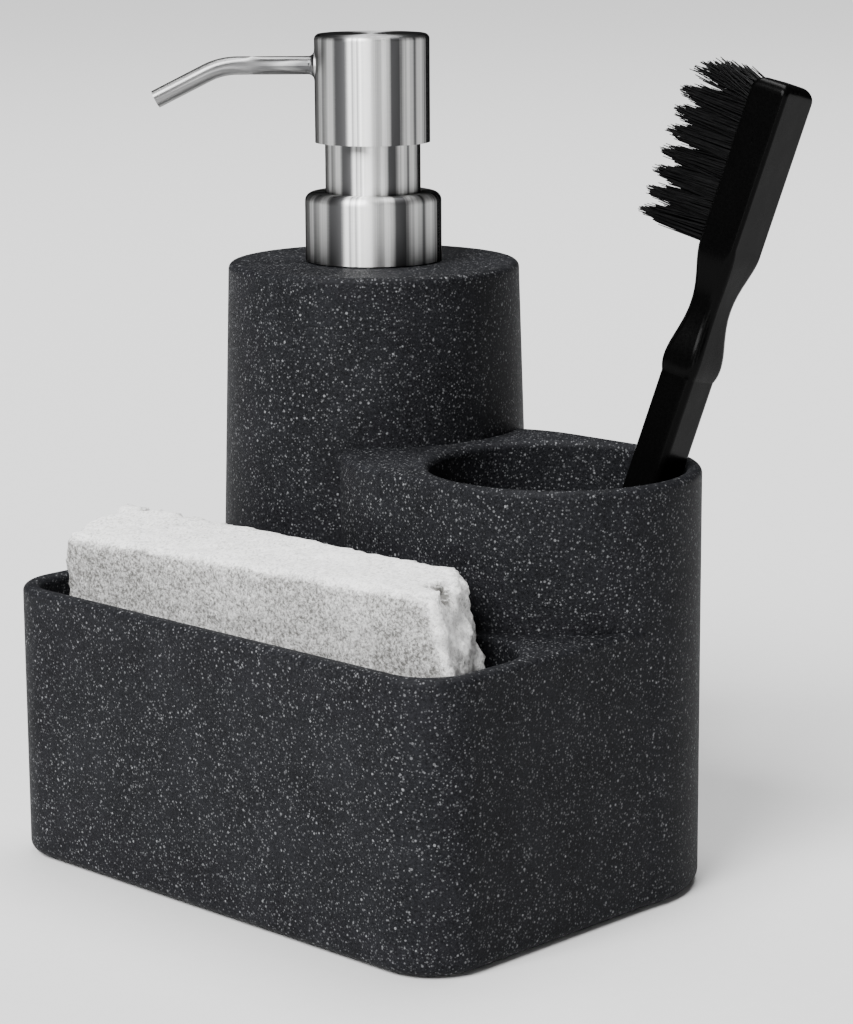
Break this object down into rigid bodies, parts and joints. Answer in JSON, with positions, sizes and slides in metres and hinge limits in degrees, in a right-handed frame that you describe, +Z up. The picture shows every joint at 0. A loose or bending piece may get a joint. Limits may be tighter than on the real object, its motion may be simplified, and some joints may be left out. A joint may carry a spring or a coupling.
{
  "type": "soap pump caddy",
  "caption": "Speckled dark caddy with a sponge tray, a brush cup and a soap reservoir with a steel pump; the pump presses and swivels, the collar unscrews, brush and sponge lift out.",
  "frame": {"origin": "on the table under the base pad, midway along the tray and midway from the tray's front to the cup's back", "axes": "+X to the right along the tray's front, +Y to the back, +Z up"},
  "size_m": [0.1447, 0.1211, 0.1841],
  "materials": {
    "speckled_resin": "matte",
    "satin_steel": "satin",
    "bright_steel": "polished",
    "white_plastic": "satin",
    "clear_tube": "satin",
    "gasket_rubber": "matte",
    "foam_pad": "matte",
    "black_plastic": "gloss",
    "black_nylon": "satin",
    "sponge_foam": "matte"
  },
  "bodies": {
    "caddy": {"caddy_body": "speckled_resin", "base_pad": "foam_pad", "neck_insert": "white_plastic"},
    "pump_core": {"neck_gasket": "gasket_rubber", "pump_cylinder": "white_plastic", "dip_tube": "clear_tube", "ball_cage": "white_plastic", "stem_guide": "white_plastic", "guide_sleeve": "satin_steel", "return_spring": "bright_steel"},
    "collar": {"collar_shell": "satin_steel", "closure_nut": "white_plastic"},
    "plunger": {"stem": "white_plastic", "piston": "white_plastic", "stem_plug": "white_plastic"},
    "head": {"head_shell": "satin_steel", "actuator_core": "white_plastic", "spout_tube": "satin_steel"},
    "valve_ball": {"check_ball": "bright_steel"},
    "brush": {"brush_handle": "black_plastic", "bristle_tufts": "black_nylon"},
    "sponge": {"sponge": "sponge_foam"}
  },
  "joints": [
    {"name": "pump_lift", "type": "slide", "parent": "caddy", "child": "pump_core", "axis": [0, 0, 1], "range_m": [0, 0.00636]},
    {"name": "collar_turn", "type": "hinge", "parent": "pump_core", "child": "collar", "pos_m": [-0.03045, 0.0314, 0.1321], "axis": [0, 0, 1], "range_deg": [0, 540]},
    {"name": "press", "type": "slide", "parent": "pump_core", "child": "plunger", "axis": [0, 0, -1], "range_m": [0, 0.011], "stiffness_N_per_m": 700, "springref_m": -0.004, "deforming": ["return_spring"]},
    {"name": "spout_swivel", "type": "hinge", "parent": "plunger", "child": "head", "pos_m": [-0.03045, 0.0314, 0.1593], "axis": [0, 0, 1], "continuous": true},
    {"name": "ball_lift", "type": "slide", "parent": "pump_core", "child": "valve_ball", "axis": [0, 0, 1], "range_m": [0, 0.0012]},
    {"name": "brush_lift", "type": "slide", "parent": "caddy", "child": "brush", "axis": [0.2192, 0.2131, 0.9521], "range_m": [0, 0.095]},
    {"name": "sponge_lift", "type": "slide", "parent": "caddy", "child": "sponge", "axis": [0, 0, 1], "range_m": [0, 0.06]}
  ],
  "couplings": [
    {"joint": "pump_lift", "follows": "collar_turn", "m_per_rad": 0.0006737}
  ]
}
